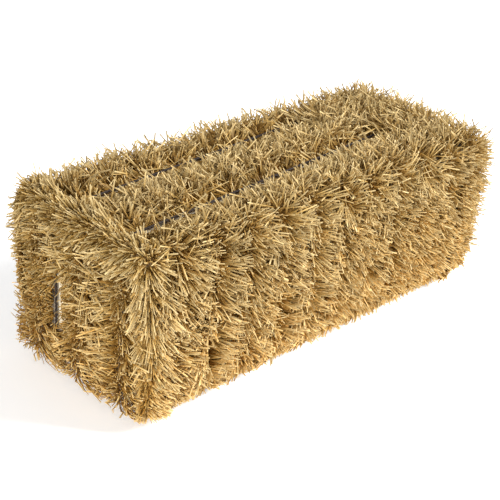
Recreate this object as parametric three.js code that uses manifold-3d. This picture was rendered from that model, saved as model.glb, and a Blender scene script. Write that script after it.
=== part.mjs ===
// Decorative square hay bale: a foam block wrapped in rows of straw brush garland, held by two cord ties.
// Millimetres, +Z up, +X along the bale. The origin is on the surface under the middle of the bale.
// Each length of garland is one solid that reaches the tips of its straw.

import * as THREE from 'three';
import { mergeVertices } from 'three/addons/utils/BufferGeometryUtils.js';
import Module from 'manifold-3d';

const wasm = await Module();
wasm.setup();

// Driving dimensions of the whole bale, to the straw tips
const BALE_LENGTH = 330;
const BALE_WIDTH = 147;
const BALE_HEIGHT = 126;
const BALE_EDGE_RADIUS = 33;
const BALE_END_ROUNDING = 24;

// Foam block inside the straw
const CORE_LENGTH = 300;
const CORE_WIDTH = 110;
const CORE_HEIGHT = 94;
const CORE_LIFT = 10;
const CORE_EDGE_RADIUS = 8;
const CORE_END_ROUNDING = 4;

// Rows of garland round the girth: a narrow one frames the left end, and the last one turns over the right end
const WRAP_COUNT = 12;
const WRAP_PITCH = 26.9;
const FIRST_WRAP_WIDTH = 21;
const WRAP_CROWN_WIDTH = 8;
const WRAP_CROWN_DEPTH = 5;

// Upright lengths of garland on the ends: the place of each across the bale
const END_STRAND_WIDTH = 28;
const END_STRAND_FLAT = 0.45;
const LEFT_STRAND_PLACES = [41, 5, -25];
const RIGHT_STRAND_PLACES = [36, 0, -36];

// Cord ties, each a flat loop that runs a little askew along the bale
const TIE_DIAMETER = 2.5;
const TIE_SKEW = 0.085;
const TIE_STRAW_UNDER = 2.15;
const TIE_BEND_RADIUS = 6;
const TIE_PLACES = { tie_front: -13, tie_back: 37.5 };

// Clearance between pieces that touch
const GAP = 0.3;
const OVERCUT = 20;

// Facets
const CORNER_STEPS = 4;
const ROUNDING_STEPS = 4;
const STRAND_STEPS = 6;
const MERGE_TOLERANCE = 1e-4;

const CORE_TOP = CORE_LIFT + CORE_HEIGHT;
const HALF_LENGTH = BALE_LENGTH / 2;
const HALF_CORE_LENGTH = CORE_LENGTH / 2;
const X_AXIS = new THREE.Vector3(1, 0, 0);
const Y_AXIS = new THREE.Vector3(0, 1, 0);
const Z_AXIS = new THREE.Vector3(0, 0, 1);

// A rectangle with round corners, centred across and given by its bottom and top
function roundedRectangle(halfWidth, bottom, top, radius) {
  const outline = new THREE.Shape();
  const quarter = Math.PI / 2;
  outline.absarc(halfWidth - radius, bottom + radius, radius, -quarter, 0);
  outline.absarc(halfWidth - radius, top - radius, radius, 0, quarter);
  outline.absarc(radius - halfWidth, top - radius, radius, quarter, 2 * quarter);
  outline.absarc(radius - halfWidth, bottom + radius, radius, 2 * quarter, 3 * quarter);
  outline.closePath();
  return outline;
}

// A prism centred on its length, with its end edges bevelled inwards
function prism(outline, length, bevel = 0, inset = bevel, bevelSegments = 1) {
  const geometry = new THREE.ExtrudeGeometry(outline, {
    depth: length - 2 * bevel,
    steps: 1,
    curveSegments: CORNER_STEPS,
    bevelEnabled: bevel > 0,
    bevelThickness: bevel,
    bevelSize: inset,
    bevelOffset: -inset,
    bevelSegments,
  });
  return geometry.translate(0, 0, bevel - length / 2);
}

// Turns a prism whose outline is a cross-section of the bale, so that it runs along X, centred at x
function alongBale(geometry, x = 0) {
  const turn = new THREE.Matrix4().makeBasis(Y_AXIS, Z_AXIS, X_AXIS);
  return geometry.applyMatrix4(turn.setPosition(x, 0, 0));
}

// Stands a prism whose outline is drawn lengthwise and up in the upright plane of one tie
function inTiePlane(geometry, place) {
  const along = new THREE.Vector3(1, TIE_SKEW, 0).normalize();
  const across = along.clone().cross(Z_AXIS);
  const turn = new THREE.Matrix4().makeBasis(along, Z_AXIS, across);
  return geometry.applyMatrix4(turn.setPosition(0, place, 0));
}

function toSolid(geometry) {
  const bare = geometry.clone();
  bare.deleteAttribute('normal');
  bare.deleteAttribute('uv');
  const merged = mergeVertices(bare, MERGE_TOLERANCE);
  const mesh = new wasm.Mesh({
    numProp: 3,
    vertProperties: merged.attributes.position.array,
    triVerts: Uint32Array.from(merged.index.array),
  });
  return new wasm.Manifold(mesh);
}

function toGeometry(solid) {
  const mesh = solid.getMesh();
  const geometry = new THREE.BufferGeometry();
  geometry.setAttribute('position', new THREE.BufferAttribute(mesh.vertProperties, 3));
  geometry.setIndex(new THREE.BufferAttribute(mesh.triVerts, 1));
  geometry.computeVertexNormals();
  return geometry;
}

// Foam block: round long edges and softened ends
function coreOutline(gap = 0) {
  const bottom = CORE_LIFT - gap;
  return roundedRectangle(CORE_WIDTH / 2 + gap, bottom, CORE_TOP + gap, CORE_EDGE_RADIUS + gap);
}

function foamCore() {
  const rounding = CORE_END_ROUNDING;
  return alongBale(prism(coreOutline(), CORE_LENGTH, rounding, rounding, ROUNDING_STEPS));
}

// The loop that a tie follows, grown outwards from its centre line
function tieLoop(grow) {
  const tieRadius = TIE_DIAMETER / 2;
  const lift = 2 * GAP + TIE_STRAW_UNDER + tieRadius + grow;
  const slant = Math.atan(TIE_SKEW);
  const endFace = (HALF_CORE_LENGTH + GAP + tieRadius * Math.sin(slant)) / Math.cos(slant);
  const halfLength = endFace + tieRadius + grow;
  return roundedRectangle(halfLength, CORE_LIFT - lift, CORE_TOP + lift, TIE_BEND_RADIUS + grow);
}

// A flat band between two loops
function band(outer, inner) {
  outer.holes.push(inner);
  return outer;
}

// Cord with an eight-sided section
function tie(place) {
  const radius = TIE_DIAMETER / 2;
  const bevel = radius * (2 - Math.SQRT2);
  const loop = band(tieLoop(radius), tieLoop(-radius));
  return inTiePlane(prism(loop, TIE_DIAMETER, bevel), place);
}

// Straw that a tie parts: all of it outside the loop
function tieSlot(place) {
  const clearance = TIE_DIAMETER / 2 + GAP;
  const outside = roundedRectangle(HALF_LENGTH + OVERCUT, -OVERCUT, BALE_HEIGHT + OVERCUT, OVERCUT);
  return inTiePlane(prism(band(outside, tieLoop(-clearance)), 2 * clearance), place);
}

// Straw that a tie runs under: only the tie's own channel
function tieChannel(place) {
  const clearance = TIE_DIAMETER / 2 + GAP;
  return inTiePlane(prism(band(tieLoop(clearance), tieLoop(-clearance)), 2 * clearance), place);
}

const tiePlaces = Object.values(TIE_PLACES);
const coreSolid = toSolid(alongBale(prism(coreOutline(GAP), BALE_LENGTH + OVERCUT)));
const endFaceSolid = toSolid(alongBale(prism(coreOutline(), BALE_LENGTH + OVERCUT)));
const slotSolids = tiePlaces.map((place) => toSolid(tieSlot(place)));
const channelSolids = tiePlaces.map((place) => toSolid(tieChannel(place)));

const baleOutline = () => roundedRectangle(BALE_WIDTH / 2, 0, BALE_HEIGHT, BALE_EDGE_RADIUS);
const envelope = prism(baleOutline(), BALE_LENGTH, BALE_END_ROUNDING, BALE_END_ROUNDING, ROUNDING_STEPS);
const envelopeSolid = toSolid(alongBale(envelope));

// One row of garland: a crowned ring with the block's passage and the ties' slots cut through it
function strawWrap(index) {
  const first = index === 0;
  const last = index === WRAP_COUNT - 1;
  const second = FIRST_WRAP_WIDTH - HALF_LENGTH;
  const left = first ? -HALF_LENGTH : second + (index - 1) * WRAP_PITCH;
  const right = last ? HALF_LENGTH : second + index * WRAP_PITCH - GAP;
  const ring = prism(baleOutline(), right - left, WRAP_CROWN_WIDTH, WRAP_CROWN_DEPTH);
  let solid = toSolid(alongBale(ring, (left + right) / 2)).subtract(coreSolid);
  if (first || last) {
    solid = solid.intersect(envelopeSolid);
  }
  for (const slot of slotSolids) {
    solid = solid.subtract(slot);
  }
  return toGeometry(solid);
}

// One upright length of garland on an end face: a crowned bar inside the end row that covers the tie behind it
function endStrand(side, place) {
  const depth = HALF_LENGTH - HALF_CORE_LENGTH - GAP;
  const halfWidth = END_STRAND_WIDTH / 2;
  const section = new THREE.Shape();
  section.moveTo(halfWidth, 0);
  section.lineTo(halfWidth, depth * END_STRAND_FLAT);
  section.absellipse(0, depth * END_STRAND_FLAT, halfWidth, depth * (1 - END_STRAND_FLAT), 0, Math.PI);
  section.lineTo(-halfWidth, 0);
  const bar = new THREE.ExtrudeGeometry(section, {
    depth: CORE_HEIGHT,
    steps: 1,
    curveSegments: STRAND_STEPS,
    bevelEnabled: false,
  });
  bar.rotateZ((side * -Math.PI) / 2);
  bar.translate(side * (HALF_CORE_LENGTH + GAP), place, CORE_LIFT);
  let solid = toSolid(bar).intersect(endFaceSolid);
  for (const channel of channelSolids) {
    solid = solid.subtract(channel);
  }
  return toGeometry(solid);
}

// Finishes
const finish = (color, roughness) => new THREE.MeshStandardMaterial({ color, roughness, metalness: 0 });
const foamFinish = () => finish('#f2efe6', 0.85);
const strawFinish = () => finish('#c9a765', 0.7);
const cordFinish = () => finish('#26221f', 0.8);

function named(name, geometry, material) {
  const mesh = new THREE.Mesh(geometry, material);
  mesh.name = name;
  return mesh;
}

const twoDigits = (number) => String(number).padStart(2, '0');

const bale = new THREE.Group();
bale.name = 'hay_bale';
bale.add(named('foam_core', foamCore(), foamFinish()));

for (let index = 0; index < WRAP_COUNT; index += 1) {
  bale.add(named(`straw_wrap_${twoDigits(index + 1)}`, strawWrap(index), strawFinish()));
}

LEFT_STRAND_PLACES.forEach((place, index) => {
  bale.add(named(`end_strand_left_${twoDigits(index + 1)}`, endStrand(-1, place), strawFinish()));
});
RIGHT_STRAND_PLACES.forEach((place, index) => {
  bale.add(named(`end_strand_right_${twoDigits(index + 1)}`, endStrand(1, place), strawFinish()));
});

for (const [name, place] of Object.entries(TIE_PLACES)) {
  bale.add(named(name, tie(place), cordFinish()));
}

export default bale;
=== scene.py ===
# Decorative square hay bale: rows of straw brush garland round a foam block, held by two cord ties.
# Metres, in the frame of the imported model: +Z up, +X along the bale.

import math
import random
from collections import namedtuple

import bpy
from mathutils import Matrix, Vector


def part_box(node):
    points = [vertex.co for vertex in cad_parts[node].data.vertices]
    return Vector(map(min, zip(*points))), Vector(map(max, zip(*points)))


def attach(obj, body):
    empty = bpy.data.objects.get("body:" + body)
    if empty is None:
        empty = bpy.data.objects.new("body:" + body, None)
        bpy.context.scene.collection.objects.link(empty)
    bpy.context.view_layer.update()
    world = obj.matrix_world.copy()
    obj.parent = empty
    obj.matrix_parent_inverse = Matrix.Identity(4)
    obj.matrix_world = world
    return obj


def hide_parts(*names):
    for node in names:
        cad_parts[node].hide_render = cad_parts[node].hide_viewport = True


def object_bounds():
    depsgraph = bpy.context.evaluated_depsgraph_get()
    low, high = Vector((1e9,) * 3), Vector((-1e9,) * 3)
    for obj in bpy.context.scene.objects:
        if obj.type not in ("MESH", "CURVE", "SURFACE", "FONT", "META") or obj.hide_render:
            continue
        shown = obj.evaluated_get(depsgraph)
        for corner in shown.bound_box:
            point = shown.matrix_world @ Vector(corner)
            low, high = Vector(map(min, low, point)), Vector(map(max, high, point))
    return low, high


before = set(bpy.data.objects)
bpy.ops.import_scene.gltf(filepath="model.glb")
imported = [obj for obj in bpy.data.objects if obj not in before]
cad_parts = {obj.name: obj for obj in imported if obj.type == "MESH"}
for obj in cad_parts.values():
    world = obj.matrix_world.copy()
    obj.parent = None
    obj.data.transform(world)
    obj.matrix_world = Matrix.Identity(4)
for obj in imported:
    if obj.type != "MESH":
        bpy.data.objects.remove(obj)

MM = 0.001
X_AXIS = Vector((1, 0, 0))
Z_AXIS = Vector((0, 0, 1))
CAD_LOW, CAD_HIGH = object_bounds()
CORE_LOW, CORE_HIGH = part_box("foam_core")

# Straw bristles: each lies along the foam from its spine to an elbow, and stands out from there
BRISTLES_PER_METRE = 19500
BRISTLE_LENGTH = 16 * MM
BRISTLE_WIDTH = 0.82 * MM
BRISTLE_THICKNESS = 0.38 * MM
BRISTLE_SPREAD = (0.8, 1.15)
HEIGHT_SPREAD = (0.75, 1.3)
LEAST_RISE = 0.1
ELBOW_SHIFT = 3 * MM
ELBOW_LIFT = (-1.2 * MM, 1.2 * MM)

# Short bristles under the others: their share, their length and how much of the tips' colour they get, which
# keeps them darker as painted shade for lying under the others
UNDER_SHARE = 0.66
UNDER_SPREAD = (0.2, 0.45)
UNDER_PAINTED_SHADE_REACH = 0.68

# Bristles near each other share most of their spread: they gather in tufts, and the tufts sway.
# The tufts differ between the two sides of a spine and between lengths of garland.
TUFT_SIZE = 7 * MM
TUFT_SHARE = 5.0
SWAY_SIZE = 24 * MM
SWAY_SHARE = 2.0
OWN_SHARE = 0.4
SIDES_APART = 40.0
LENGTHS_APART = 3.7

# Rounded outline that the tips keep to, with a few loose tips past it
OUTLINE_LOW = CAD_LOW + Vector((3, 0, 3)) * MM
OUTLINE_HIGH = CAD_HIGH + Vector((2, 0, 0)) * MM
OUTLINE_ROUNDING = {"top": 27 * MM, "bottom": 43 * MM}
LEFT_ROUNDING = {"top": 31 * MM, "bottom": 47 * MM}
LEFT_ROUNDING_FROM = -95 * MM
LEFT_ROUNDING_OVER = 30 * MM
TIPS_FROM_OUTLINE = (-8 * MM, 0.5 * MM)
TIPS_FROM_ELBOW = (0.5 * MM, 3.5 * MM)
LOOSE_TIPS = (0.5 * MM, 5 * MM)
LOOSE_TIPS_SHARE = 0.12
SHORTEST_CUT = 0.66
LEAST_RISE_PAST_ELBOW = 1 * MM

# Straw near the floor: it hangs down in a fringe, and its tips stop above the floor
FRINGE_FROM = 38 * MM
FRINGE_LEAN = 52
FRINGE_UNDER = 0.1
LOWEST_STRAW = 0.8 * MM
LOWEST_TIPS = (0.8 * MM, 7 * MM)
SHORTEST_ON_FLOOR = 0.4

# Spines that carry the bristles, just above the foam
SPINE_LIFT = 2 * MM
SPINE_BEND = 10 * MM
SPINE_EDGE_LIFT = 3 * MM
SPINE_STEP = 2 * MM
SPINE_WOBBLE = 1 * MM
WOBBLE_WAVES = (2, 3, 4)

# Cord ties: each is a flat loop, a little askew, that shows on the top over part of the bale's length.
# One also shows on the left end, between two heights.
TIES = ("tie_front", "tie_back")
TIE_BOXES = {tie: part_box(tie) for tie in TIES}
TIE_SOLID_DIAMETER = 2.5 * MM
TIE_SKEW = 0.085
TIE_BEND_RADIUS = 6 * MM
TIES_SEEN_FROM = -145 * MM
TIES_SEEN_TO = {"tie_front": 107 * MM, "tie_back": 79 * MM}
TIE_ON_END = "tie_back"
TIE_SEEN_ON_END = (33 * MM, 76 * MM)
STRANDS_BESIDE_TIE = ("left_01", "left_02")
BESIDE_TIE_SCATTER = 17

# Groove that a tie presses into the straw: push, floor and slope are given in front of it and behind it.
# A few stray bristles stand in the groove.
TIE_PUSH_WIDTH = 10 * MM
TIE_PUSH = (2.0, 1.0)
GROOVE_FLOOR = (1 * MM, 3 * MM)
GROOVE_SLOPE = (0.64, 2.2)
GROOVE_SPREAD = (0.5, 1.1)
GAP_BEHIND_TIE = 1 * MM
LIFT_IN_GROOVE = 0.3
STRAY_SHARE = 0.05
STRAY_HEIGHT = 4
OPEN_REACH = 1000 * MM

# How the bristles stand on each face. Angles are in degrees: lean is along the winding, tilt turns the
# outward way along the bale, and swing is to the sides, from near the spine to far from it. Slant leans the
# two sides of a spine apart. In millimetres, scatter is how far the elbows lie to either side, lift is how
# far they rise, height is how far the straw stands out, and gap is how far it keeps in front of a tie.
# Length is a share of a whole bristle, keep is the share of bristles that grow, under is the share of short
# ones, and valley is the share of the height that is lost far from the spine.
HABIT_ANGLES = ("lean", "lean_spread", "slant", "tilt", "near", "far", "swing_spread")
HABIT_SIZES = ("scatter", "lift", "height", "gap")
HABIT_SHARES = ("length", "keep", "under", "valley")
Habit = namedtuple("Habit", HABIT_ANGLES + HABIT_SIZES + HABIT_SHARES)
FRONT_HABIT = Habit(
    lean=8, lean_spread=26, slant=0, tilt=0, near=0, far=42, swing_spread=26,
    scatter=13.5, lift=1.2, height=13, gap=1.5,
    length=1.1, keep=1.0, under=UNDER_SHARE, valley=0.5,
)
PARTED_HABIT = FRONT_HABIT._replace(near=20, far=75, swing_spread=14, scatter=8)
BACK_HABIT = FRONT_HABIT._replace(lean=-8)
TOP_HABIT = FRONT_HABIT._replace(
    lean=0, lean_spread=56, near=15, far=60, swing_spread=52, lift=8, height=11, gap=0.8, length=1.25,
)
BOTTOM_HABIT = FRONT_HABIT._replace(
    lean=0, lean_spread=20, near=40, far=70, swing_spread=20, height=6, length=0.8, keep=0.4,
)
TOP_EDGE_HABIT = FRONT_HABIT._replace(
    lean=-12, lean_spread=22, tilt=-60, far=62, swing_spread=22,
    scatter=10, lift=3, height=12, gap=1.2, length=1.2, valley=0.3,
)
UPRIGHT_EDGE_HABIT = FRONT_HABIT._replace(
    lean=48, lean_spread=12, slant=12, tilt=-34, near=6, far=96, swing_spread=8,
    scatter=5.5, height=12, length=1.2,
)
BACK_EDGE_HABIT = FRONT_HABIT._replace(lean=-8, tilt=-40, far=70, scatter=9, height=10)
BOTTOM_EDGE_HABIT = FRONT_HABIT._replace(
    lean=0, lean_spread=16, tilt=-10, far=30, swing_spread=15, scatter=5, height=6, length=0.8, keep=0.6,
)
END_HABIT = FRONT_HABIT._replace(
    lean=4, lean_spread=22, near=10, far=66, swing_spread=24,
    scatter=19, lift=5, height=12, gap=6, length=1.2, valley=0,
)

# Starbursts where a row bends over a top edge: the elbows gather and the bristles fan out
CORNER_FAN = 16
CORNER_GATHER = 0.45
CORNER_SWING = 35

# Rows round the girth: how the straw stands on each face, how much of a starburst it makes, how high the
# spine lies on the top, how it bends, and how far it is set in underneath and low on the back
Row = namedtuple("Row", "faces starburst lift bend shift_below shift_behind")
LAST_TILT = 18
MIDDLE_FACES = {"top": TOP_HABIT, "front": FRONT_HABIT, "bottom": BOTTOM_HABIT, "back": BACK_HABIT}
PARTED_FACES = {**MIDDLE_FACES, "front": PARTED_HABIT}
LAST_FACES = {face: habit._replace(tilt=LAST_TILT) for face, habit in MIDDLE_FACES.items()}
FIRST_FACES = {
    "top": TOP_EDGE_HABIT,
    "front": UPRIGHT_EDGE_HABIT,
    "bottom": BOTTOM_EDGE_HABIT,
    "back": BACK_EDGE_HABIT,
}
MIDDLE_ROW = Row(MIDDLE_FACES, 1.0, SPINE_LIFT, SPINE_BEND, 0.0, 0.0)
PARTED_ROW = MIDDLE_ROW._replace(faces=PARTED_FACES)
LAST_ROW = MIDDLE_ROW._replace(faces=LAST_FACES, starburst=0.3)
FIRST_ROW = Row(FIRST_FACES, 0.0, 6 * MM, 7 * MM, 14 * MM, 12 * MM)
SHIFT_BEHIND_FROM = 60 * MM
ROW_COUNT = 12
OWN_ROWS = {1: FIRST_ROW, 3: PARTED_ROW, 5: PARTED_ROW, 6: PARTED_ROW, ROW_COUNT: LAST_ROW}
OWN_PLACES = {1: -150.5 * MM, ROW_COUNT: 138.5 * MM}

# Upright lengths on the ends: the way each end faces, their places across it in millimetres, and a seed
End = namedtuple("End", "side places first_seed")
ENDS = {"left": End(-1, (41, 4, -34), 15), "right": End(1, (36, 0, -36), 25)}
SEED = 7
SEEDS_APART = 100

# Twisted cords: sizes, plies, sides of a ply, and dark and pale colours as they look on a screen
Cord = namedtuple("Cord", "diameter twist plies sides dark pale")
SPINE_CORD = Cord(1.6 * MM, 10 * MM, 2, 3, (88, 64, 36), (150, 118, 74))
TIE_CORD = Cord(1.8 * MM, 7 * MM, 3, 5, (26, 17, 11), (60, 43, 32))
CORD_STEPS_PER_TURN = 5
CORD_MAP_TURNS = 4
CORD_MAP_EDGES = (0.05, 0.95)
CORD_STREAKS_PER_PLY = 7
CORD_STREAKS_ALONG = 5.0
CORD_DARK_AT = 0.3
CORD_PALE_AT = 0.75

# Straw shades: a bristle takes one of many narrow bands of the palette, and is darker towards its root, which
# is painted shade of the hollows among the bristles
BAKE_MAP = "OFBake"
SHADE_BANDS = 64
SHADE_MARGIN = 0.15
# Painted light: the palette place moves from golden low on the bale, for warm light bounced up onto it, to
# darker khaki on the top
PAINTED_LIGHT_TONE_AT_TOP = 0.28
PAINTED_LIGHT_TONE_AT_BOTTOM = 0.66
SHADE_SPREAD = 0.34
LAST_SHADE = 0.999
STRAW_MAP_EDGES = (0.02, 0.98)
STRAW_PALETTE = [
    (0.00, (180, 157, 107)),
    (0.22, (205, 183, 134)),
    (0.45, (216, 190, 135)),
    (0.62, (228, 196, 133)),
    (0.80, (227, 187, 117)),
    (1.00, (240, 217, 168)),
]
# Painted shade: colour multipliers from the root (0) to the tip (1) of a strip, dark brown low down, for the
# shade deep among the bristles
STRAW_PAINTED_ROOT_SHADE = [
    (0.00, (0.32, 0.19, 0.04, 1)),
    (0.50, (0.48, 0.34, 0.12, 1)),
    (0.70, (0.82, 0.72, 0.49, 1)),
    (1.00, (1.00, 1.00, 1.00, 1)),
]
STRAW_BRIGHTNESS = (0.68, 1.12)
STREAK_BRIGHTNESS = (0.86, 1.12)
STRAW_STREAKS_PER_BAND = 5
STRAW_STREAKS_ALONG = 2.5
STRAW_SPECULAR = 0.25

# Foam beads, from the middle of a bead to its edge: a beige darker than white foam, and darker still at the
# bead's edge, painted shade from the straw over the foam and in the seams between beads
FOAM_BEAD = 3.2 * MM
FOAM_PALETTE_WITH_PAINTED_SHADE = [(0.25, (222, 209, 184)), (0.85, (198, 183, 154))]

# Surfaces: roughness in the hollows and on the rises, and the strength and depth of the relief
Surface = namedtuple("Surface", "roughness relief depth")
STRAW_SURFACE = Surface((0.46, 0.72), 0.5, 0.15 * MM)
CORD_SURFACE = Surface((0.65, 0.9), 0.5, 0.2 * MM)
FOAM_SURFACE = Surface((0.7, 0.5), 0.6, 0.4 * MM)

# Studio: a pale floor, even light all round and two soft lamps
WHITE = (1, 1, 1, 1)
FLOOR_SIZE = 8.0
FLOOR_COLOUR = (0.95, 0.95, 0.95, 1)
FLOOR_ROUGHNESS = 0.9
FLOOR_GLOW = 0.3
SURROUND_STRENGTH = 0.43
Lamp = namedtuple("Lamp", "place size power")
LAMPS = {"key": Lamp((1.15, -1.25, 1.15), 0.7, 85), "fill": Lamp((-1.4, -0.1, 0.4), 0.9, 19)}

# Camera, as the photograph was taken: focal length in pixels of a frame 500 pixels wide
FRAME_PIXELS = 500
FOCAL_PIXELS = 1110.14
SENSOR_WIDTH = 36
CLIP_START = 0.01
CAMERA_AZIMUTH = math.radians(-47.12)
CAMERA_ELEVATION = math.radians(26.64)
CAMERA_ROLL = math.radians(4.38)
CAMERA_DISTANCE = 700.77 * MM
CAMERA_TARGET = Vector((-28.57, -11.79, 60)) * MM


# Node trees, written as steps and arithmetic

def fill(tree, socket, value):
    """Links a socket to a field, or sets its own value."""
    if isinstance(value, Field):
        tree.links.new(value.socket, socket)
    elif socket.type == "VECTOR" and isinstance(value, (int, float)):
        socket.default_value = (value, value, value)
    else:
        socket.default_value = value


def place_node(tree, kind, inputs, **options):
    node = tree.nodes.new(kind)
    for name, value in options.items():
        setattr(node, name, value)
    for name, value in inputs.items():
        fill(tree, node.inputs[name], value)
    return node


class Field:
    """A node's output. Arithmetic on fields adds the nodes that do it."""

    def __init__(self, tree, socket):
        self.tree = tree
        self.socket = socket

    def __add__(self, other):
        return combine("ADD", self, other)

    def __radd__(self, other):
        return combine("ADD", other, self)

    def __sub__(self, other):
        return combine("SUBTRACT", self, other)

    def __rsub__(self, other):
        return combine("SUBTRACT", other, self)

    def __mul__(self, other):
        return combine("MULTIPLY", self, other)

    def __rmul__(self, other):
        return combine("MULTIPLY", other, self)

    def __truediv__(self, other):
        return combine("DIVIDE", self, other)

    def part(self, axis):
        node = place_node(self.tree, "ShaderNodeSeparateXYZ", {"Vector": self})
        return Field(self.tree, node.outputs[axis])


def combine(operation, *values):
    """One step of arithmetic on numbers or vectors."""
    fields = [value for value in values if isinstance(value, Field)]
    tree = fields[0].tree
    with_vectors = any(field.socket.type == "VECTOR" for field in fields)
    kind = "ShaderNodeVectorMath" if with_vectors else "ShaderNodeMath"
    node = place_node(tree, kind, dict(enumerate(values)), operation=operation)
    return Field(tree, node.outputs["Value" if operation in ("DOT_PRODUCT", "LENGTH") else 0])


def between(low, high, share):
    return low + (high - low) * share


def clamp(field, low, high):
    return combine("MINIMUM", combine("MAXIMUM", field, low), high)


class Recipe:
    """A Geometry Nodes tree, written step by step."""

    def __init__(self, name, sizes):
        self.tree = bpy.data.node_groups.new(name, "GeometryNodeTree")
        self.tree.interface.new_socket("Geometry", in_out="INPUT", socket_type="NodeSocketGeometry")
        self.tree.interface.new_socket("Geometry", in_out="OUTPUT", socket_type="NodeSocketGeometry")
        for size, kind in sizes.items():
            self.tree.interface.new_socket(size, in_out="INPUT", socket_type="NodeSocket" + kind)
        self.entry = self.tree.nodes.new("NodeGroupInput")
        self.draws = 0

    def given(self, name):
        return Field(self.tree, self.entry.outputs[name])

    def step(self, kind, inputs, output=0, **options):
        node = place_node(self.tree, kind, inputs, **options)
        return Field(self.tree, node.outputs[output])

    def read(self, name, kind="FLOAT"):
        return self.step("GeometryNodeInputNamedAttribute", {"Name": name}, data_type=kind)

    def keep(self, geometry, name, value, kind="FLOAT", domain="POINT"):
        inputs = {"Geometry": geometry, "Name": name, "Value": value}
        return self.step("GeometryNodeStoreNamedAttribute", inputs, data_type=kind, domain=domain)

    def forget(self, geometry, pattern):
        inputs = {"Geometry": geometry, "Name": pattern}
        return self.step("GeometryNodeRemoveAttribute", inputs, pattern_mode="WILDCARD")

    def drop(self, geometry, condition):
        inputs = {"Geometry": geometry, "Selection": condition}
        return self.step("GeometryNodeDeleteGeometry", inputs, domain="POINT")

    def draw(self, low, high):
        """A random number, from the next seed of the tree."""
        self.draws += 1
        inputs = {2: low, 3: high, "Seed": self.given("Seed") + self.draws}
        return self.step("FunctionNodeRandomValue", inputs, output=1)

    def choose(self, condition, if_true, if_false):
        inputs = {"Switch": condition, "True": if_true, "False": if_false}
        return self.step("GeometryNodeSwitch", inputs, input_type="FLOAT")

    def less(self, first, second):
        inputs = {0: first, 1: second}
        return self.step("FunctionNodeCompare", inputs, data_type="FLOAT", operation="LESS_THAN")

    def vector(self, x, y, z):
        return self.step("ShaderNodeCombineXYZ", {"X": x, "Y": y, "Z": z})

    def end(self, geometry, material):
        realized = self.step("GeometryNodeRealizeInstances", {"Geometry": geometry})
        inputs = {"Geometry": realized, "Material": material}
        finished = self.step("GeometryNodeSetMaterial", inputs)
        exit_node = self.tree.nodes.new("NodeGroupOutput")
        fill(self.tree, exit_node.inputs["Geometry"], finished)
        return self.tree


# Straw along a spine

def straw_recipe():
    """Bristles along a spine, each a thin strip that leaves the spine as the spine's own fields say."""
    sizes = {
        "Bristles": "Int",
        "Length": "Float",
        "Width": "Float",
        "Thickness": "Float",
        "Seed": "Int",
        "Straw": "Material",
    }
    recipe = Recipe("straw_garland", sizes)
    curve = recipe.step("GeometryNodeMeshToCurve", {"Mesh": recipe.given("Geometry")})
    inputs = {"Curve": curve, "Count": recipe.given("Bristles")}
    roots = recipe.step("GeometryNodeCurveToPoints", inputs, mode="COUNT")
    roots = recipe.drop(roots, recipe.less(recipe.read("row_keep"), recipe.draw(0.0, 1.0)))
    roots = aim_bristles(recipe, roots)
    roots = recipe.drop(roots, recipe.less(0.5, recipe.read("bristle_parted")))
    roots = recipe.forget(roots, "row_*")
    return recipe.end(bend_bristles(recipe, roots), recipe.given("Straw"))


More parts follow.
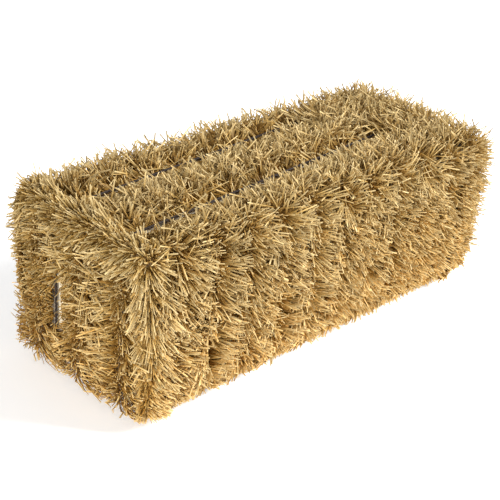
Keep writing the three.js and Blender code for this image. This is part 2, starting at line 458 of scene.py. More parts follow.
def aim_bristles(recipe, roots):
    """Stores on every root the way its bristle lies and stands out, its section, its place in the palette,
    and how far up its painted root shade it reaches.
    """
    position = recipe.step("GeometryNodeInputPosition", {})
    outward = recipe.read("row_outward", "FLOAT_VECTOR")
    winding = recipe.read("row_winding", "FLOAT_VECTOR")
    rightward = combine("CROSS_PRODUCT", outward, winding)

    under = recipe.less(recipe.draw(0.0, 1.0), recipe.read("row_under"))
    across = recipe.draw(-1.0, 1.0)
    scatter = recipe.read("row_scatter")
    lay = rightward * (combine("MINIMUM", across, 0.0) * scatter)
    lay = lay + recipe.read("row_level", "FLOAT_VECTOR") * (combine("MAXIMUM", across, 0.0) * scatter)
    lay = lay + winding * recipe.draw(-ELBOW_SHIFT, ELBOW_SHIFT)
    groove, push = beside_ties(recipe, position + lay)
    stray = recipe.less(recipe.draw(0.0, 1.0), STRAY_SHARE)
    groove = groove * recipe.choose(stray, STRAY_HEIGHT, recipe.draw(*GROOVE_SPREAD))
    lift = recipe.read("row_lift") * recipe.draw(0.0, 1.0)
    lift = combine("MINIMUM", lift, groove * LIFT_IN_GROOVE)
    lift = recipe.choose(under, recipe.draw(*ELBOW_LIFT), lift)
    lay = lay + outward * lift
    elbow = position + lay

    heading = bristle_heading(recipe, elbow, across, outward, winding, rightward)
    heading = combine("NORMALIZE", heading + recipe.vector(0.0, push, 0.0))
    share = recipe.choose(under, recipe.draw(*UNDER_SPREAD), recipe.draw(*BRISTLE_SPREAD))
    rise = combine("MAXIMUM", combine("DOT_PRODUCT", heading, outward), LEAST_RISE)
    far_share = combine("ABSOLUTE", across)
    height = recipe.read("row_height") * recipe.draw(*HEIGHT_SPREAD)
    height = height * (1.0 - recipe.read("row_valley") * far_share * far_share)
    height = combine("MINIMUM", height, groove - lift)
    length = recipe.given("Length") * recipe.read("row_length") * share
    length = combine("MINIMUM", length, height / rise)
    tip = hold_inside(recipe, elbow, elbow + heading * length)
    tip = hold_above_floor(recipe, elbow, tip)
    parted = recipe.choose(stray, 0.0, across_ties(recipe, position, elbow, tip))

    turn = recipe.draw(0.0, math.tau)
    tilted = outward * combine("COSINE", turn) + winding * combine("SINE", turn)
    wide_way = combine("NORMALIZE", combine("CROSS_PRODUCT", heading, tilted + rightward))
    thin_way = combine("CROSS_PRODUCT", wide_way, heading)

    roots = recipe.keep(roots, "bristle_root", position, "FLOAT_VECTOR")
    roots = recipe.keep(roots, "bristle_lay", lay, "FLOAT_VECTOR")
    roots = recipe.keep(roots, "bristle_stand", tip - elbow, "FLOAT_VECTOR")
    roots = recipe.keep(roots, "bristle_wide", wide_way * recipe.given("Width"), "FLOAT_VECTOR")
    roots = recipe.keep(roots, "bristle_thin", thin_way * recipe.given("Thickness"), "FLOAT_VECTOR")
    roots = recipe.keep(roots, "bristle_parted", parted)
    # Painted shade: short bristles under the others stop partway up the root-to-tip colours, so they stay
    # darker
    roots = recipe.keep(roots, "bristle_painted_shade_reach", recipe.choose(under, UNDER_PAINTED_SHADE_REACH, 1.0))
    return recipe.keep(roots, "bristle_tone_and_light", bristle_tone_and_light(recipe, position))


def bristle_heading(recipe, elbow, across, outward, winding, rightward):
    """The way a bristle stands out: its row's swing and lean, spread by its tuft and on its own."""
    side = combine("SIGN", across)
    far_share = combine("ABSOLUTE", across)
    swing = side * between(recipe.read("row_near"), recipe.read("row_far"), far_share)
    apart = recipe.vector(side * SIDES_APART, recipe.given("Seed") * LENGTHS_APART, 0.0)
    tuft = clumps(recipe, elbow, TUFT_SIZE, apart) * TUFT_SHARE
    sway = clumps(recipe, elbow, SWAY_SIZE, apart) * SWAY_SHARE
    shared = tuft + sway
    own_swing = (recipe.draw(-1.0, 1.0) + recipe.draw(-1.0, 1.0)) * OWN_SHARE
    own_lean = (recipe.draw(-1.0, 1.0) + recipe.draw(-1.0, 1.0)) * OWN_SHARE
    swing = swing + recipe.read("row_swing_spread") * (own_swing + shared.part(0))
    lean = recipe.read("row_lean") + recipe.read("row_lean_spread") * (own_lean + shared.part(1))
    lean = lean - side * recipe.read("row_slant")
    sideways = outward * combine("COSINE", swing) + rightward * combine("SINE", swing)
    return sideways * combine("COSINE", lean) + winding * combine("SINE", lean)


def clumps(recipe, place, size, apart):
    """Noise over the bale, from about -0.25 to 0.25, that bristles near each other share."""
    inputs = {"Vector": place * (1 / size) + apart, "Scale": 1.0, "Detail": 1.0}
    noise = recipe.step("ShaderNodeTexNoise", inputs, output="Color")
    return recipe.step("ShaderNodeVectorMath", {0: noise, 1: (-0.5, -0.5, -0.5)}, operation="ADD")


def bristle_tone_and_light(recipe, position):
    """A bristle's place in the palette: spread at random, and moved from golden at the bottom of the bale to
    darker khaki at its top as painted light.
    """
    up_core = (position.part(2) - CORE_LOW.z) * (1 / (CORE_HIGH.z - CORE_LOW.z))
    # Painted light: golden low down for warm bounce light, darker khaki on the top
    shade = between(PAINTED_LIGHT_TONE_AT_BOTTOM, PAINTED_LIGHT_TONE_AT_TOP, up_core)
    shade = shade + (recipe.draw(-0.5, 0.5) + recipe.draw(-0.5, 0.5)) * SHADE_SPREAD
    return clamp(shade, 0.0, LAST_SHADE)


def past_outline(recipe, point):
    """How far a point is past the rounded outline of the bale, and the way out."""
    half = (OUTLINE_HIGH - OUTLINE_LOW) / 2
    from_middle = point - tuple(OUTLINE_LOW + half)
    below = recipe.less(from_middle.part(2), 0.0)
    rounding = recipe.choose(below, OUTLINE_ROUNDING["bottom"], OUTLINE_ROUNDING["top"])
    left_rounding = recipe.choose(below, LEFT_ROUNDING["bottom"], LEFT_ROUNDING["top"])
    leftward = clamp((LEFT_ROUNDING_FROM - point.part(0)) * (1 / LEFT_ROUNDING_OVER), 0.0, 1.0)
    rounding = between(rounding, left_rounding, leftward)
    to_rounding = tuple(half) - recipe.vector(rounding, rounding, rounding)
    beyond = combine("MAXIMUM", combine("ABSOLUTE", from_middle) - to_rounding, 0.0)
    way_out = combine("NORMALIZE", beyond) * combine("SIGN", from_middle)
    return combine("LENGTH", beyond) - rounding, way_out


def hold_inside(recipe, elbow, tip):
    """Draws a tip back to the outline, with some allowance past it, but not behind its elbow."""
    loose = recipe.less(recipe.draw(0.0, 1.0), LOOSE_TIPS_SHARE)
    allowed = recipe.choose(loose, recipe.draw(*LOOSE_TIPS), recipe.draw(*TIPS_FROM_OUTLINE))
    past_elbow, _ = past_outline(recipe, elbow)
    allowed = combine("MAXIMUM", allowed, past_elbow + recipe.draw(*TIPS_FROM_ELBOW))
    past_tip, _ = past_outline(recipe, tip)
    rise = combine("MAXIMUM", past_tip - past_elbow, LEAST_RISE_PAST_ELBOW)
    within = clamp((allowed - past_elbow) / rise, SHORTEST_CUT, 1.0)
    tip = elbow + (tip - elbow) * within
    past_tip, way_out = past_outline(recipe, tip)
    return tip - way_out * combine("MAXIMUM", past_tip - allowed, 0.0)


def hold_above_floor(recipe, elbow, tip):
    """Shortens a bristle that would pass through the floor, and keeps its direction."""
    room = elbow.part(2) - recipe.draw(*LOWEST_TIPS)
    drop = combine("MAXIMUM", elbow.part(2) - tip.part(2), LOWEST_STRAW)
    return elbow + (tip - elbow) * clamp(room / drop, SHORTEST_ON_FLOOR, 1.0)


def from_tie(point, tie):
    """How far a point lies behind a tie, across the bale."""
    low, high = TIE_BOXES[tie]
    return point.part(1) - point.part(0) * TIE_SKEW - (low.y + high.y) / 2


def tie_shows(recipe, tie, elbow):
    """How far a tie shows where an elbow lies."""
    past_start = recipe.less(recipe.read("row_seen_from"), elbow.part(0))
    return recipe.choose(past_start, recipe.read("row_" + tie), 0.0)


def beside_ties(recipe, elbow):
    """The groove that the ties press into the straw, and the push that they give it across the bale."""
    push = 0.0
    groove = OPEN_REACH
    for tie in TIES:
        seen = tie_shows(recipe, tie, elbow)
        away = from_tie(elbow, tie)
        in_front = recipe.less(away, 0.0)
        distance = combine("ABSOLUTE", away)
        gap = recipe.choose(in_front, recipe.read("row_gap"), GAP_BEHIND_TIE)
        from_gap = combine("MAXIMUM", distance - gap, 0.0)
        slope = recipe.choose(in_front, *GROOVE_SLOPE)
        depth = recipe.choose(in_front, *GROOVE_FLOOR) + from_gap * slope
        groove = combine("MINIMUM", (1.0 - seen) * OPEN_REACH + depth, groove)
        share = distance * (1 / TIE_PUSH_WIDTH)
        near = combine("EXPONENT", share * share * -1.0) * seen
        push = push + near * combine("SIGN", away) * recipe.choose(in_front, *TIE_PUSH)
    return groove, push


def across_ties(recipe, root, elbow, tip):
    """Whether a bristle would lie across a tie that shows, or too close beside it."""
    parted = 0.0
    for tie in TIES:
        seen = tie_shows(recipe, tie, elbow)
        start = from_tie(root, tie)
        side = combine("SIGN", start)
        clear = combine("MINIMUM", from_tie(elbow, tie) * side, from_tie(tip, tie) * side)
        width = recipe.choose(recipe.less(start, 0.0), recipe.read("row_gap"), GAP_BEHIND_TIE)
        parted = parted + recipe.choose(recipe.less(clear, width), seen, 0.0)
    return parted


def bristle_template(recipe):
    """A closed strip of unit length: a point at the root, then a three-sided section up to a square tip."""
    inputs = {"Vertices": 3, "Side Segments": 2, "Radius Top": 1.0, "Radius Bottom": 0.0, "Depth": 1.0}
    strip = recipe.step("GeometryNodeMeshCone", inputs, fill_type="NGON")
    place = recipe.step("GeometryNodeInputPosition", {})
    flat = combine("NORMALIZE", place * recipe.vector(1.0, 1.0, 0.0))
    triangle_depth = 1.5
    triangle_width = math.sqrt(3)
    strip = recipe.keep(strip, "bristle_along", place.part(2))
    strip = recipe.keep(strip, "bristle_depth", flat.part(0) / triangle_depth)
    return recipe.keep(strip, "bristle_across", flat.part(1) / triangle_width)


def bend_bristles(recipe, roots):
    """A strip on every root, with its elbow halfway along, held above the floor, and its map."""
    inputs = {"Points": roots, "Instance": bristle_template(recipe)}
    placed = recipe.step("GeometryNodeInstanceOnPoints", inputs)
    strips = recipe.step("GeometryNodeRealizeInstances", {"Geometry": placed})

    along = recipe.read("bristle_along")
    across = recipe.read("bristle_across")
    lay = recipe.read("bristle_lay", "FLOAT_VECTOR")
    stand = recipe.read("bristle_stand", "FLOAT_VECTOR")
    lying = combine("MINIMUM", along * 2.0, 1.0)
    standing = combine("MAXIMUM", along * 2.0 - 1.0, 0.0)
    point = recipe.read("bristle_root", "FLOAT_VECTOR") + lay * lying + stand * standing
    point = combine("MAXIMUM", point, (-OPEN_REACH, -OPEN_REACH, LOWEST_STRAW))
    point = point + recipe.read("bristle_wide", "FLOAT_VECTOR") * across
    point = point + recipe.read("bristle_thin", "FLOAT_VECTOR") * recipe.read("bristle_depth")
    strips = recipe.step("GeometryNodeSetPosition", {"Geometry": strips, "Position": point})
    strips = recipe.step("GeometryNodeSetShadeSmooth", {"Geometry": strips, "Shade Smooth": False})

    band = combine("FLOOR", recipe.read("bristle_tone_and_light") * SHADE_BANDS)
    inside = between(0.5, 1 - SHADE_MARGIN, across * 2.0)
    # The map runs up each strip from the painted dark root to the tip; short bristles under the others stop
    # partway, as painted shade
    up = between(*STRAW_MAP_EDGES, along * recipe.read("bristle_painted_shade_reach"))
    bake_point = recipe.vector((band + inside) / SHADE_BANDS, up, 0.0)
    strips = recipe.keep(strips, BAKE_MAP, bake_point, "FLOAT2", "CORNER")
    return recipe.forget(strips, "bristle_*")


# Twisted cords along a centre line

def twisted_cord_recipe(name, cord):
    """Plies laid round each other along a centre line, with a map of plies across and length up."""
    sizes = {"Diameter": "Float", "Turns": "Int", "Points": "Int", "Map length": "Float", "Cord": "Material"}
    recipe = Recipe(name, sizes)
    curve = recipe.step("GeometryNodeMeshToCurve", {"Mesh": recipe.given("Geometry")})
    inputs = {"Curve": curve, "Count": recipe.given("Points")}
    curve = recipe.step("GeometryNodeResampleCurve", inputs, mode="COUNT")
    parameter = recipe.tree.nodes.new("GeometryNodeSplineParameter")
    share = Field(recipe.tree, parameter.outputs["Factor"])
    length = Field(recipe.tree, parameter.outputs["Length"])
    normal = recipe.step("GeometryNodeInputNormal", {})
    tangent = recipe.step("GeometryNodeInputTangent", {})
    across = combine("CROSS_PRODUCT", tangent, normal)
    up = combine("PINGPONG", length / recipe.given("Map length"), 1.0)

    ply_radius = recipe.given("Diameter") * (0.5 / (1 + 1 / math.sin(math.pi / cord.plies)))
    lay_radius = recipe.given("Diameter") * 0.5 - ply_radius
    inputs = {"Resolution": cord.sides, "Radius": ply_radius}
    circle = recipe.step("GeometryNodeCurvePrimitiveCircle", inputs)
    index = recipe.step("GeometryNodeInputIndex", {})
    round_ply = combine("ABSOLUTE", index * (2 / cord.sides) - 1.0)
    section = recipe.keep(circle, "cord_round", round_ply)

    join = recipe.tree.nodes.new("GeometryNodeJoinGeometry")
    for ply in range(cord.plies):
        angle = share * recipe.given("Turns") * math.tau + ply * math.tau / cord.plies
        offset = (normal * combine("COSINE", angle) + across * combine("SINE", angle)) * lay_radius
        strand = recipe.keep(curve, "cord_up", up)
        strand = recipe.keep(strand, "cord_ply", float(ply))
        strand = recipe.step("GeometryNodeSetPosition", {"Geometry": strand, "Offset": offset})
        recipe.tree.links.new(strand.socket, join.inputs["Geometry"])
    inputs = {"Curve": Field(recipe.tree, join.outputs[0]), "Profile Curve": section, "Fill Caps": True}
    strands = recipe.step("GeometryNodeCurveToMesh", inputs)
    inside = between(*CORD_MAP_EDGES, recipe.read("cord_round"))
    map_across = (recipe.read("cord_ply") + inside) / cord.plies
    bake_point = recipe.vector(map_across, recipe.read("cord_up"), 0.0)
    strands = recipe.keep(strands, BAKE_MAP, bake_point, "FLOAT2", "CORNER")
    return recipe.end(recipe.forget(strands, "cord_*"), recipe.given("Cord"))


def grow(name, guide, tree, values):
    """Runs a tree on a guide line and keeps the result as a plain mesh."""
    piece = bpy.data.objects.new(name, guide)
    bpy.context.scene.collection.objects.link(piece)
    modifier = piece.modifiers.new("grow", "NODES")
    modifier.node_group = tree
    for item in tree.interface.items_tree:
        if item.in_out == "INPUT" and item.name in values:
            modifier[item.identifier] = values[item.name]
    evaluated = piece.evaluated_get(bpy.context.evaluated_depsgraph_get())
    mesh = bpy.data.meshes.new_from_object(evaluated)
    piece.modifiers.clear()
    piece.data = mesh
    mesh.name = name
    bpy.data.meshes.remove(guide)
    return piece


# Routes of the spines and ties

# A place on a spine: the ways that are outward, along the winding and level along the foam there, the straw's
# habit, how far each tie shows, and the place along the bale from which the ties show
Station = namedtuple("Station", "place outward winding level habit seen seen_from")


def rounded_loop(half_width, bottom, top, radius, step):
    """Points of a round-cornered rectangle, from the top towards -side, each with its outward angle."""
    runs = [2 * (half_width - radius), top - bottom - 2 * radius] * 2
    centres = [(-1, 1), (-1, -1), (1, -1), (1, 1)]
    middle = (top + bottom) / 2
    half_height = (top - bottom) / 2 - radius
    points = []
    for quarter, (run, (side, rise)) in enumerate(zip(runs, centres)):
        facing = math.pi / 2 * (quarter + 1)
        outward = Vector((math.cos(facing), math.sin(facing)))
        forward = Vector((-outward.y, outward.x))
        centre = Vector((side * (half_width - radius), middle + rise * half_height))
        corner = centre + outward * radius
        for index in range(round(run / step)):
            points.append((corner - forward * (run - index * step), facing))
        turn_steps = max(2, round(radius * math.pi / 2 / step))
        for index in range(turn_steps):
            angle = facing + math.pi / 2 * index / turn_steps
            points.append((centre + radius * Vector((math.cos(angle), math.sin(angle))), angle))
    return points


def blend_habits(faces, outward, starburst):
    """The habit where the outward direction lies between faces, with some starburst on the top edges."""
    shares = {
        "top": max(outward.z, 0) ** 2,
        "front": max(-outward.y, 0) ** 2,
        "bottom": max(-outward.z, 0) ** 2,
        "back": max(outward.y, 0) ** 2,
    }
    whole = sum(shares.values())
    mixed = [
        sum(shares[face] * faces[face][index] for face in shares) / whole
        for index in range(len(Habit._fields))
    ]
    habit = Habit(*mixed)
    upward = shares["top"] / whole
    corner = 4 * upward * (1 - upward) * starburst
    return habit._replace(
        lean_spread=habit.lean_spread + CORNER_FAN * corner,
        far=habit.far + CORNER_SWING * corner,
        scatter=habit.scatter * (1 - CORNER_GATHER * corner),
    )


def hang(habit, winding, height):
    """Turns straw near the floor downwards, so that its tips make a fringe."""
    low = min(max(FRINGE_FROM - height, 0) / (FRINGE_FROM - CORE_LOW.z), 1)
    lean = between(habit.lean, -winding.z * FRINGE_LEAN, low)
    under = between(habit.under, FRINGE_UNDER, low * abs(winding.z))
    return habit._replace(lean=lean, under=under)


def row_stations(place, row, rng):
    """One row round the girth, set in along the bale underneath and low on the back."""
    half_width = CORE_HIGH.y + SPINE_LIFT
    loop = rounded_loop(half_width, CORE_LOW.z - SPINE_LIFT, CORE_HIGH.z + row.lift, row.bend, SPINE_STEP)
    phases = {waves: rng.uniform(0, math.tau) for waves in WOBBLE_WAVES}
    stations = []
    for index, (point, angle) in enumerate(loop):
        turn = math.tau * index / len(loop)
        wobble = sum(math.sin(waves * turn + phase) for waves, phase in phases.items())
        straight_out = Vector((0, math.cos(angle), math.sin(angle)))
        winding = Vector((0, -math.sin(angle), math.cos(angle)))
        habit = hang(blend_habits(row.faces, straight_out, row.starburst), winding, point.y)
        tilt = math.radians(habit.tilt)
        outward = straight_out * math.cos(tilt) + X_AXIS * math.sin(tilt)
        spot = Vector((place + SPINE_WOBBLE * wobble, point.x, point.y))
        low = max(SHIFT_BEHIND_FROM - spot.z, 0) / (SHIFT_BEHIND_FROM - CORE_LOW.z)
        shift_behind = row.shift_behind * low * (spot.y > 0)
        spot.x += max(row.shift_below * max(-straight_out.z, 0), shift_behind)
        upward = max(straight_out.z, 0)
        spot += straight_out * SPINE_EDGE_LIFT * 4 * upward ** 2 * (1 - upward ** 2)
        seen = {tie: upward * (spot.x < TIES_SEEN_TO[tie]) for tie in TIES}
        stations.append(Station(spot, outward, winding, X_AXIS, habit, seen, TIES_SEEN_FROM))
    return stations


def end_stations(side, across, shows_tie):
    """One upright length on an end face, from the top down."""
    x = side * (CORE_HIGH.x + SPINE_LIFT)
    top = CORE_HIGH.z - SPINE_LIFT
    run = top - CORE_LOW.z
    count = round(run / SPINE_STEP)
    lowest, highest = TIE_SEEN_ON_END
    outward = X_AXIS * side
    level = outward.cross(-Z_AXIS)
    stations = []
    for index in range(count + 1):
        place = Vector((x, across, top - run * index / count))
        beside_tie = shows_tie and lowest < place.z < highest
        habit = END_HABIT._replace(scatter=BESIDE_TIE_SCATTER) if beside_tie else END_HABIT
        habit = hang(habit, -Z_AXIS, place.z)
        seen = {tie: float(beside_tie and tie == TIE_ON_END) for tie in TIES}
        stations.append(Station(place, outward, -Z_AXIS, level, habit, seen, -OPEN_REACH))
    return stations


def tie_route(tie):
    """The centre line of a tie: a round-cornered loop in its own upright plane, a little askew."""
    low, high = TIE_BOXES[tie]
    slant = math.atan(TIE_SKEW)
    along = Vector((math.cos(slant), math.sin(slant), 0))
    middle = Vector((0, (low.y + high.y) / 2, 0))
    radius = TIE_SOLID_DIAMETER / 2
    half_length = (high.x - radius * math.sin(slant)) / math.cos(slant) - radius
    loop = rounded_loop(half_length, low.z + radius, high.z - radius, TIE_BEND_RADIUS, SPINE_STEP)
    return [middle + along * point.x + Z_AXIS * point.y for point, _ in loop]


def route_length(points, closed):
    following = points[1:] + points[:1] if closed else points[1:]
    return sum((after - before).length for before, after in zip(points, following))


def line_mesh(name, points, closed):
    count = len(points)
    edges = [(index, index + 1) for index in range(count - 1)]
    if closed:
        edges.append((count - 1, 0))
    mesh = bpy.data.meshes.new(name)
    mesh.from_pydata([tuple(point) for point in points], edges, [])
    return mesh


def guide_mesh(name, stations, closed):
    """A line through the stations that carries their fields, in radians and metres."""
    mesh = line_mesh(name, [station.place for station in stations], closed)
    for field in ("outward", "winding", "level"):
        layer = mesh.attributes.new("row_" + field, "FLOAT_VECTOR", "POINT")
        layer.data.foreach_set("vector", [x for station in stations for x in getattr(station, field)])
    values = {tie: [station.seen[tie] for station in stations] for tie in TIES}
    values["seen_from"] = [station.seen_from for station in stations]
    for field in HABIT_ANGLES:
        values[field] = [math.radians(getattr(station.habit, field)) for station in stations]
    for field in HABIT_SIZES:
        values[field] = [getattr(station.habit, field) * MM for station in stations]
    for field in HABIT_SHARES:
        values[field] = [getattr(station.habit, field) for station in stations]
    for field, numbers in values.items():
        layer = mesh.attributes.new("row_" + field, "FLOAT", "POINT")
        layer.data.foreach_set("value", numbers)
    return mesh


# Finishes

def new_material(name):
    material = bpy.data.materials.new(name)
    material.use_nodes = True
    return material, material.node_tree, material.node_tree.nodes["Principled BSDF"]


def srgb(red, green, blue):
    """A colour given as it looks on a screen, from 0 to 255."""
    def to_linear(value):
        share = value / 255
        return share / 12.92 if share <= 0.04045 else ((share + 0.055) / 1.055) ** 2.4
    return (to_linear(red), to_linear(green), to_linear(blue), 1)


def screen_stops(stops):
    return [(position, srgb(*colour)) for position, colour in stops]


def colour_ramp(tree, factor, stops):
    node = place_node(tree, "ShaderNodeValToRGB", {"Fac": factor})
    elements = node.color_ramp.elements
    while len(elements) < len(stops):
        elements.new(0.5)
    for element, (position, colour) in zip(elements, stops):
        element.position = position
        element.color = colour
    return Field(tree, node.outputs["Color"])


def multiply_colours(tree, first, second):
    """Multiplies two colours, through the numbered sockets that a mix node keeps for colours."""
    inputs = {0: 1.0, 6: first, 7: second}
    node = place_node(tree, "ShaderNodeMix", inputs, data_type="RGBA", blend_type="MULTIPLY")
    return Field(tree, node.outputs[2])


def grey(tree, value):
    node = place_node(tree, "ShaderNodeCombineColor", {"Red": value, "Green": value, "Blue": value})
    return Field(tree, node.outputs["Color"])


def fibre_group():
    """Fine streaks along a fibre, from a map with the fibre's width across and its length up."""
    group = bpy.data.node_groups.new("fibre_streaks", "ShaderNodeTree")
    group.interface.new_socket("Map", in_out="INPUT", socket_type="NodeSocketVector")
    group.interface.new_socket("Across", in_out="INPUT", socket_type="NodeSocketFloat")
    group.interface.new_socket("Along", in_out="INPUT", socket_type="NodeSocketFloat")
    group.interface.new_socket("Streaks", in_out="OUTPUT", socket_type="NodeSocketFloat")
    entry = group.nodes.new("NodeGroupInput")
    scale = place_node(group, "ShaderNodeCombineXYZ", {"Z": 1.0})
    group.links.new(entry.outputs["Across"], scale.inputs["X"])
    group.links.new(entry.outputs["Along"], scale.inputs["Y"])
    stretched = Field(group, entry.outputs["Map"]) * Field(group, scale.outputs[0])
    noise = place_node(group, "ShaderNodeTexNoise", {"Vector": stretched, "Scale": 1.0, "Detail": 2.0})
    exit_node = group.nodes.new("NodeGroupOutput")
    group.links.new(noise.outputs["Fac"], exit_node.inputs["Streaks"])
    return group


def read_map(tree):
    uv_map = place_node(tree, "ShaderNodeUVMap", {}, uv_map=BAKE_MAP)
    return Field(tree, uv_map.outputs["UV"])


def fibre_streaks(tree, group, fibre, across, along):
    node = place_node(tree, "ShaderNodeGroup", {}, node_tree=group)
    fill(tree, node.inputs["Map"], fibre)
    node.inputs["Across"].default_value = across
    node.inputs["Along"].default_value = along
    return Field(tree, node.outputs["Streaks"])


def give_surface(tree, shader, rise, surface):
    fill(tree, shader.inputs["Roughness"], between(*surface.roughness, rise))
    inputs = {"Height": rise, "Strength": surface.relief, "Distance": surface.depth}
    bump = place_node(tree, "ShaderNodeBump", inputs)
    tree.links.new(bump.outputs["Normal"], shader.inputs["Normal"])


def straw_material(streak_group):
    """Dry straw: many shades, with painted shade that darkens every strip towards its root, and fine streaks
    along every strip.
    """
    material, tree, shader = new_material("straw")
    fibre = read_map(tree)
    streaks_across = SHADE_BANDS * STRAW_STREAKS_PER_BAND
    streaks = fibre_streaks(tree, streak_group, fibre, streaks_across, STRAW_STREAKS_ALONG)
    band = combine("FLOOR", fibre.part(0) * SHADE_BANDS)
    palette = colour_ramp(tree, fibre.part(0), screen_stops(STRAW_PALETTE))
    # Painted shade: darkens each strip towards its root
    painted_root_shade = colour_ramp(tree, fibre.part(1), STRAW_PAINTED_ROOT_SHADE)
    noise = place_node(tree, "ShaderNodeTexWhiteNoise", {"W": band}, noise_dimensions="1D")
    brightness = between(*STRAW_BRIGHTNESS, Field(tree, noise.outputs["Value"]))
    brightness = brightness * between(*STREAK_BRIGHTNESS, streaks)
    colour = multiply_colours(tree, multiply_colours(tree, palette, painted_root_shade), grey(tree, brightness))
    fill(tree, shader.inputs["Base Color"], colour)
    give_surface(tree, shader, streaks, STRAW_SURFACE)
    shader.inputs["Specular IOR Level"].default_value = STRAW_SPECULAR
    return material


def cord_material(name, streak_group, cord):
    """Twisted fibre: dark strands with paler streaks."""
    material, tree, shader = new_material(name)
    streaks_across = cord.plies * CORD_STREAKS_PER_PLY
    streaks = fibre_streaks(tree, streak_group, read_map(tree), streaks_across, CORD_STREAKS_ALONG)
    stops = screen_stops([(CORD_DARK_AT, cord.dark), (CORD_PALE_AT, cord.pale)])
    fill(tree, shader.inputs["Base Color"], colour_ramp(tree, streaks, stops))
    give_surface(tree, shader, streaks, CORD_SURFACE)
    return material


def foam_material():
    """Expanded foam: pale beads pressed together, in a beige darkened as painted shade from the straw around
    it, and darker in the seams between them as painted shade.
    """
    material, tree, shader = new_material("foam_beads")
    coordinates = tree.nodes.new("ShaderNodeTexCoord")
    place = Field(tree, coordinates.outputs["Object"])
    beads = place_node(tree, "ShaderNodeTexVoronoi", {"Vector": place, "Scale": 1 / FOAM_BEAD})
    distance = Field(tree, beads.outputs["Distance"])
    # Painted shade: darker beige for the straw's shadow, darkest in the seams between beads
    fill(tree, shader.inputs["Base Color"], colour_ramp(tree, distance, screen_stops(FOAM_PALETTE_WITH_PAINTED_SHADE)))
    give_surface(tree, shader, 1.0 - distance, FOAM_SURFACE)
    return material


# Pieces

# What a kind of piece is grown with: its tree and its material
Supply = namedtuple("Supply", "tree material")


def make_supplies():
    streak_group = fibre_group()
    spine_tree = twisted_cord_recipe("twisted_spine", SPINE_CORD)
    tie_tree = twisted_cord_recipe("twisted_tie", TIE_CORD)
    return {
        "straw": Supply(straw_recipe(), straw_material(streak_group)),
        "spine": Supply(spine_tree, cord_material("spine_twine", streak_group, SPINE_CORD)),
        "tie": Supply(tie_tree, cord_material("tie_cord", streak_group, TIE_CORD)),
    }


def declare(piece, node):
    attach(piece, "root")
    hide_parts(node)


def add_cord(name, points, closed, cord, supply):
    """A twisted cord along a route, with a whole number of turns."""
    turns = round(route_length(points, closed) / cord.twist)
    values = {
        "Diameter": cord.diameter,
        "Turns": turns,
        "Points": turns * CORD_STEPS_PER_TURN,
        "Map length": CORD_MAP_TURNS * cord.twist,
        "Cord": supply.material,
    }
    return grow(name, line_mesh(name, points, closed), supply.tree, values)


def add_garland(name, node, stations, closed, seed, supplies):
    """The straw of one length of garland, and the twisted spine that holds it."""
    places = [station.place for station in stations]
    values = {
        "Bristles": round(route_length(places, closed) * BRISTLES_PER_METRE),
        "Length": BRISTLE_LENGTH,
        "Width": BRISTLE_WIDTH,
        "Thickness": BRISTLE_THICKNESS,
        "Seed": seed,
        "Straw": supplies["straw"].material,
    }
    straw = grow(name + "_straw", guide_mesh(name, stations, closed), supplies["straw"].tree, values)
    declare(straw, node)
    spine = add_cord(name + "_spine", places, closed, SPINE_CORD, supplies["spine"])
    declare(spine, node)


def add_rows(supplies):
    rng = random.Random(SEED)
    for number in range(1, ROW_COUNT + 1):
        name = f"wrap_{number:02d}"
        node = "straw_" + name
        low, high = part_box(node)
        place = OWN_PLACES.get(number, (low.x + high.x) / 2)
        stations = row_stations(place, OWN_ROWS.get(number, MIDDLE_ROW), rng)
        add_garland(name, node, stations, True, number * SEEDS_APART, supplies)


def add_end_strands(supplies):
    for end, (side, places, first_seed) in ENDS.items():
        for index, across in enumerate(places):
            name = f"{end}_{index + 1:02d}"
            stations = end_stations(side, across * MM, name in STRANDS_BESIDE_TIE)
            seed = (first_seed + index) * SEEDS_APART
            add_garland("end_" + name, "end_strand_" + name, stations, False, seed, supplies)


def add_ties(supplies):
    for tie in TIES:
        cord = add_cord(tie + "_cord", tie_route(tie), True, TIE_CORD, supplies["tie"])
        declare(cord, tie)


def finish_core():
    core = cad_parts["foam_core"]
    core.data.materials.clear()
    core.data.materials.append(foam_material())


# Studio

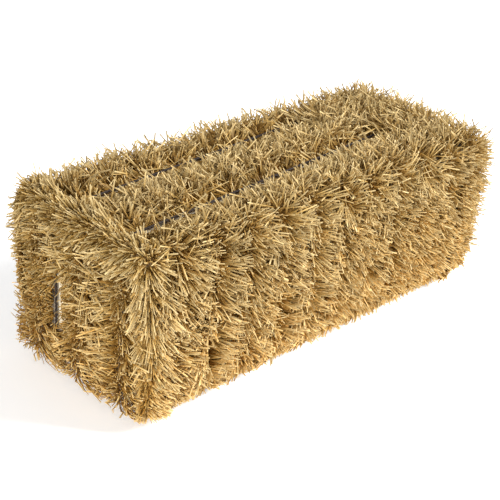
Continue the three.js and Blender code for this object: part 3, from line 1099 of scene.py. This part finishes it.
def add_floor():
    material, _, shader = new_material("pale_floor")
    shader.inputs["Base Color"].default_value = FLOOR_COLOUR
    shader.inputs["Roughness"].default_value = FLOOR_ROUGHNESS
    shader.inputs["Emission Color"].default_value = WHITE
    shader.inputs["Emission Strength"].default_value = FLOOR_GLOW
    half = FLOOR_SIZE / 2
    mesh = bpy.data.meshes.new("floor")
    corners = [(-half, -half, 0), (half, -half, 0), (half, half, 0), (-half, half, 0)]
    mesh.from_pydata(corners, [], [(0, 1, 2, 3)])
    mesh.materials.append(material)
    floor = bpy.data.objects.new("floor", mesh)
    bpy.context.scene.collection.objects.link(floor)


def add_lamp(name, lamp):
    """A soft square light that faces the bale."""
    light = bpy.data.lights.new(name, "AREA")
    light.shape = "SQUARE"
    light.size = lamp.size
    light.energy = lamp.power
    holder = bpy.data.objects.new(name, light)
    holder.location = lamp.place
    holder.rotation_euler = (CAMERA_TARGET - Vector(lamp.place)).to_track_quat("-Z", "Y").to_euler()
    bpy.context.scene.collection.objects.link(holder)


def add_lights():
    world = bpy.data.worlds.new("studio")
    world.use_nodes = True
    background = world.node_tree.nodes["Background"]
    background.inputs["Color"].default_value = WHITE
    background.inputs["Strength"].default_value = SURROUND_STRENGTH
    bpy.context.scene.world = world
    for name, lamp in LAMPS.items():
        add_lamp(name, lamp)


def add_camera():
    data = bpy.data.cameras.new("camera")
    data.sensor_width = SENSOR_WIDTH
    data.lens = FOCAL_PIXELS * SENSOR_WIDTH / FRAME_PIXELS
    data.clip_start = CLIP_START
    camera = bpy.data.objects.new("camera", data)
    across = math.cos(CAMERA_ELEVATION)
    back = Vector((
        math.sin(CAMERA_AZIMUTH) * across,
        -math.cos(CAMERA_AZIMUTH) * across,
        math.sin(CAMERA_ELEVATION),
    ))
    right = Vector((math.cos(CAMERA_AZIMUTH), math.sin(CAMERA_AZIMUTH), 0))
    turn = Matrix((right, back.cross(right), back)).transposed() @ Matrix.Rotation(CAMERA_ROLL, 3, "Z")
    camera.matrix_world = Matrix.Translation(CAMERA_TARGET + back * CAMERA_DISTANCE) @ turn.to_4x4()
    bpy.context.scene.collection.objects.link(camera)
    bpy.context.scene.camera = camera


bpy.context.scene.view_settings.view_transform = "Standard"
add_camera()
add_lights()
add_floor()
supplies = make_supplies()
add_rows(supplies)
add_end_strands(supplies)
add_ties(supplies)
finish_core()
